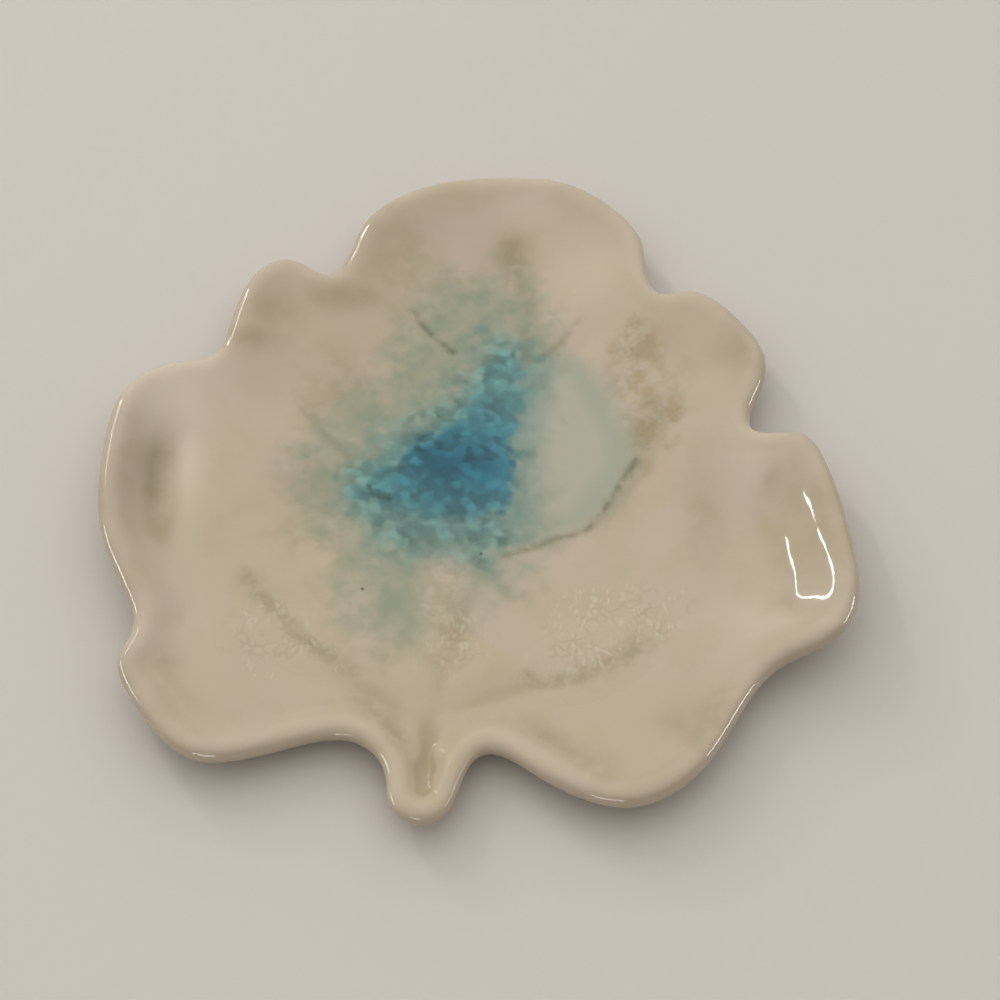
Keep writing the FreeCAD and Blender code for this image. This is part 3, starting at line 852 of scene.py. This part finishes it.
# The stage: a pale table under a soft room that is brightest overhead and towards the back. An arc lamp
# at the back left, and three low windows that are only mirrored, draw the bright lines on the glaze.
floor_half = 3.0
floor_colour = paint(205, 199, 190)
floor_roughness = 0.9
floor_mesh = bpy.data.meshes.new("table")
floor_sheet = bmesh.new()
bmesh.ops.create_grid(floor_sheet, x_segments=1, y_segments=1, size=floor_half)
floor_sheet.to_mesh(floor_mesh)
floor_sheet.free()
floor = bpy.data.objects.new("table", floor_mesh)
bpy.context.scene.collection.objects.link(floor)
floor_material = bpy.data.materials.new("pale_table")
floor_material.use_nodes = True
floor_surface = floor_material.node_tree.nodes["Principled BSDF"]
floor_surface.inputs["Base Color"].default_value = floor_colour
floor_surface.inputs["Roughness"].default_value = floor_roughness
floor_mesh.materials.append(floor_material)
floor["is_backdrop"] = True

lamp_direction = Vector((-0.66, 0.54, 0.54)).normalized()
lamp_distance = 0.85
lamp_radius = 0.173
lamp_start = math.radians(92)
lamp_sweep = math.radians(142)
lamp_tube = 0.012
lamp_steps = 64
lamp_colour = (1.0, 0.98, 0.95, 1)
lamp_strength = 36.0
lamp_sheet = bmesh.new()
bmesh.ops.create_circle(lamp_sheet, segments=16, radius=lamp_tube)
tube_turn = Vector((0, 1, 0)).to_track_quat("Z", "Y").to_matrix()
bmesh.ops.rotate(lamp_sheet, verts=lamp_sheet.verts, matrix=tube_turn)
bmesh.ops.translate(lamp_sheet, verts=lamp_sheet.verts, vec=(lamp_radius, 0, 0))
bmesh.ops.spin(
    lamp_sheet, geom=lamp_sheet.verts[:] + lamp_sheet.edges[:], axis=(0, 0, 1), cent=(0, 0, 0),
    steps=lamp_steps, angle=lamp_sweep,
)
bmesh.ops.rotate(lamp_sheet, verts=lamp_sheet.verts, matrix=Matrix.Rotation(lamp_start, 3, "Z"))
bmesh.ops.recalc_face_normals(lamp_sheet, faces=lamp_sheet.faces)
lamp_turn = lamp_direction.to_track_quat("Z", "Y").to_matrix()
bmesh.ops.rotate(lamp_sheet, verts=lamp_sheet.verts, matrix=lamp_turn)
bmesh.ops.translate(lamp_sheet, verts=lamp_sheet.verts, vec=lamp_direction * lamp_distance)
lamp_mesh = bpy.data.meshes.new("arc_lamp")
lamp_sheet.to_mesh(lamp_mesh)
lamp_sheet.free()
lamp = bpy.data.objects.new("arc_lamp", lamp_mesh)
bpy.context.scene.collection.objects.link(lamp)
lamp_material = bpy.data.materials.new("lamp_glow")
lamp_material.use_nodes = True
lamp_surface = lamp_material.node_tree.nodes["Principled BSDF"]
lamp_surface.inputs["Emission Color"].default_value = lamp_colour
lamp_surface.inputs["Emission Strength"].default_value = lamp_strength
lamp_mesh.materials.append(lamp_material)
lamp.visible_camera = False
lamp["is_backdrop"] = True

window_distance = 0.8
window_width = 0.4
window_height = 0.12

# Each window by the direction in which it lies and its power
windows = {
    "left_window": ((-0.95, 0.05, 0.22), 2.5),
    "right_window": ((0.97, -0.05, 0.22), 2.6),
    "front_window": ((-0.25, -0.93, 0.22), 1.8),
}
for name, (direction, power) in windows.items():
    window_data = bpy.data.lights.new(name, "AREA")
    window_data.shape = "RECTANGLE"
    window_data.size = window_width
    window_data.size_y = window_height
    window_data.energy = power
    window = bpy.data.objects.new(name, window_data)
    toward = Vector(direction).normalized()
    window.location = toward * window_distance
    window.rotation_euler = toward.to_track_quat("Z", "Y").to_euler()
    window.visible_diffuse = False
    bpy.context.scene.collection.objects.link(window)

world = bpy.data.worlds.new("soft_room")
world.use_nodes = True
room = world.node_tree
room_direction = add(room, "ShaderNodeTexCoord").outputs["Generated"]
bright_side = Vector((-0.10, 0.35, 0.93)).normalized()
room_colour = (1.0, 0.985, 0.965, 1)
room_strength = 1.22
least_room_strength = 0.085
facing = add(room, "ShaderNodeVectorMath", {0: room_direction, 1: bright_side}, operation="DOT_PRODUCT")
glow = worked(room, "MAXIMUM", facing.outputs["Value"], 0.0)
glow = worked(room, "MULTIPLY_ADD", glow, room_strength, least_room_strength)
room.links.new(glow, room.nodes["Background"].inputs["Strength"])
room.nodes["Background"].inputs["Color"].default_value = room_colour
bpy.context.scene.world = world

camera_data = bpy.data.cameras.new("camera")
camera_data.sensor_width = 36
camera_data.lens = 82.94
camera_data.clip_start = 0.01
camera = bpy.data.objects.new("camera", camera_data)
aim = Vector((0.00408, -0.00439, 0.0059))
camera_distance = 0.3537
rise = math.radians(58)
camera.location = aim + camera_distance * Vector((0, -math.cos(rise), math.sin(rise)))
camera.rotation_euler = (math.radians(90) - rise, 0, 0)
bpy.context.scene.collection.objects.link(camera)
bpy.context.scene.camera = camera
bpy.context.scene.view_settings.view_transform = "Standard"

sizes = {}
for name, (low, high) in (("cad", cad_box), ("visual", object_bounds())):
    sizes[name] = {"low": list(low), "high": list(high)}
